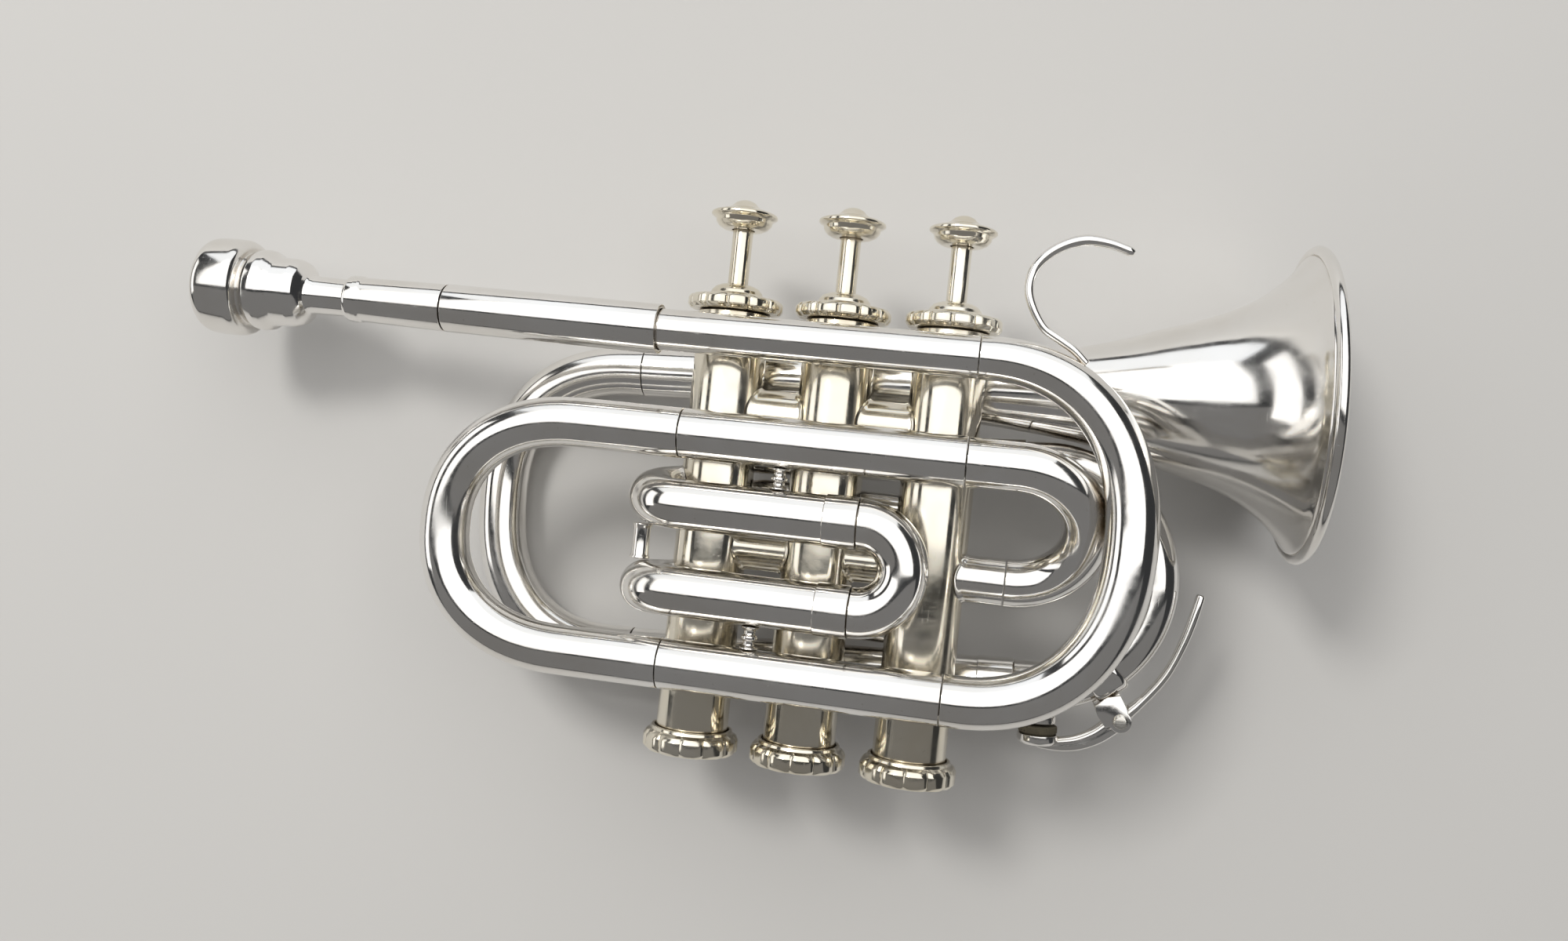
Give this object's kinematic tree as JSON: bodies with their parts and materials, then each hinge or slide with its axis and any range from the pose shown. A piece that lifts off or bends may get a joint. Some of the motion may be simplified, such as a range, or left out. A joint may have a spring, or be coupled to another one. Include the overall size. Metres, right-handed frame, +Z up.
{
  "type": "pocket trumpet",
  "caption": "Compact plated trumpet lying on its bell side, with piston valves, tightly coiled tubing, pull slides, a water key, a finger hook and a removable mouthpiece.",
  "frame": {"origin": "on the floor plane, under the centre of the bounding box", "axes": "+X from the mouthpiece to the bell, +Y along the valves towards the finger buttons, +Z up; the part lies on its bell side"},
  "size_m": [0.2926, 0.1442, 0.0804],
  "materials": {
    "silver_plate": "bright silver or nickel plate on brass, mirror polished",
    "nickel_warm": "bright nickel plate with a warm tint",
    "nickel_steel": "lapped nickel alloy and spring steel",
    "felt_red": "pressed wool felt",
    "cork": "natural cork"
  },
  "bodies": {
    "trumpet_body": {"mouthpiece_receiver": "silver_plate", "leadpipe_sleeve": "silver_plate", "leadpipe": "silver_plate", "front_bow": "silver_plate", "bottom_tube": "silver_plate", "rear_crook": "silver_plate", "middle_tube": "silver_plate", "inlet_bow": "silver_plate", "inlet_tube": "silver_plate", "valve_1_casing": "nickel_warm", "valve_1_top_cap": "nickel_warm", "valve_1_bottom_cap": "nickel_warm", "valve_1_spring": "nickel_steel", "valve_2_casing": "nickel_warm", "valve_2_top_cap": "nickel_warm", "valve_2_bottom_cap": "nickel_warm", "valve_2_spring": "nickel_steel", "valve_3_casing": "nickel_warm", "valve_3_top_cap": "nickel_warm", "valve_3_bottom_cap": "nickel_warm", "valve_3_spring": "nickel_steel", "knuckle_12_upper": "nickel_warm", "knuckle_12_lower": "nickel_warm", "knuckle_23_upper": "nickel_warm", "knuckle_23_lower": "nickel_warm", "first_slide_upper_leg": "silver_plate", "first_slide_lower_leg": "silver_plate", "first_slide_stay": "silver_plate", "upper_brace": "silver_plate", "lower_brace": "silver_plate", "third_slide_upper_leg": "silver_plate", "third_slide_lower_leg": "silver_plate", "second_slide_upper_leg": "silver_plate", "second_slide_lower_leg": "silver_plate", "tuning_upper_leg": "silver_plate", "tuning_lower_leg": "silver_plate", "left_bow": "silver_plate", "bell": "silver_plate", "bell_brace": "silver_plate", "finger_hook": "silver_plate"},
    "valve_1_assembly": {"valve_1_piston": "nickel_warm", "valve_1_button": "nickel_warm", "valve_1_felt": "felt_red"},
    "valve_2_assembly": {"valve_2_piston": "nickel_warm", "valve_2_button": "nickel_warm", "valve_2_felt": "felt_red"},
    "valve_3_assembly": {"valve_3_piston": "nickel_warm", "valve_3_button": "nickel_warm", "valve_3_felt": "felt_red"},
    "first_slide": {"first_slide_bow": "silver_plate"},
    "second_slide": {"second_slide_bow": "silver_plate"},
    "third_slide": {"third_slide_bow": "silver_plate"},
    "tuning_slide": {"tuning_bow": "silver_plate", "water_key_pin": "nickel_steel", "water_key_saddle": "silver_plate"},
    "water_key_lever": {"water_key": "silver_plate", "water_key_cork": "cork"},
    "mouthpiece_body": {"mouthpiece": "silver_plate"}
  },
  "joints": [
    {"name": "valve_1_press", "type": "slide", "parent": "trumpet_body", "child": "valve_1_assembly", "axis": [0, -1, 0], "range_m": [0, 0.0125], "stiffness_N_per_m": 110, "springref_m": -0.015, "deforming": ["valve_1_spring"]},
    {"name": "valve_2_press", "type": "slide", "parent": "trumpet_body", "child": "valve_2_assembly", "axis": [0, -1, 0], "range_m": [0, 0.0125], "stiffness_N_per_m": 110, "springref_m": -0.015, "deforming": ["valve_2_spring"]},
    {"name": "valve_3_press", "type": "slide", "parent": "trumpet_body", "child": "valve_3_assembly", "axis": [0, -1, 0], "range_m": [0, 0.0125], "stiffness_N_per_m": 110, "springref_m": -0.015, "deforming": ["valve_3_spring"]},
    {"name": "first_slide_pull", "type": "slide", "parent": "trumpet_body", "child": "first_slide", "axis": [0.9848, 0, 0.1735], "range_m": [0, 0.02]},
    {"name": "second_slide_pull", "type": "slide", "parent": "trumpet_body", "child": "second_slide", "axis": [0.1735, 0, -0.9848], "range_m": [0, 0.01]},
    {"name": "third_slide_pull", "type": "slide", "parent": "trumpet_body", "child": "third_slide", "axis": [-0.9848, 0, -0.1735], "range_m": [0, 0.019]},
    {"name": "tuning_slide_pull", "type": "slide", "parent": "trumpet_body", "child": "tuning_slide", "axis": [0.9838, 0.045, 0.1733], "range_m": [0, 0.004]},
    {"name": "water_key_press", "type": "hinge", "parent": "tuning_slide", "child": "water_key_lever", "pos_m": [0.1008, -0.05263, 0.03621], "axis": [-0.1735, 0, 0.9848], "range_deg": [0, 6], "stiffness_Nm_per_rad": 0.05, "springref_deg": -22.92},
    {"name": "mouthpiece_pull", "type": "slide", "parent": "trumpet_body", "child": "mouthpiece_body", "axis": [-0.9848, 0.01, -0.1735], "range_m": [0, 0.03]}
  ]
}
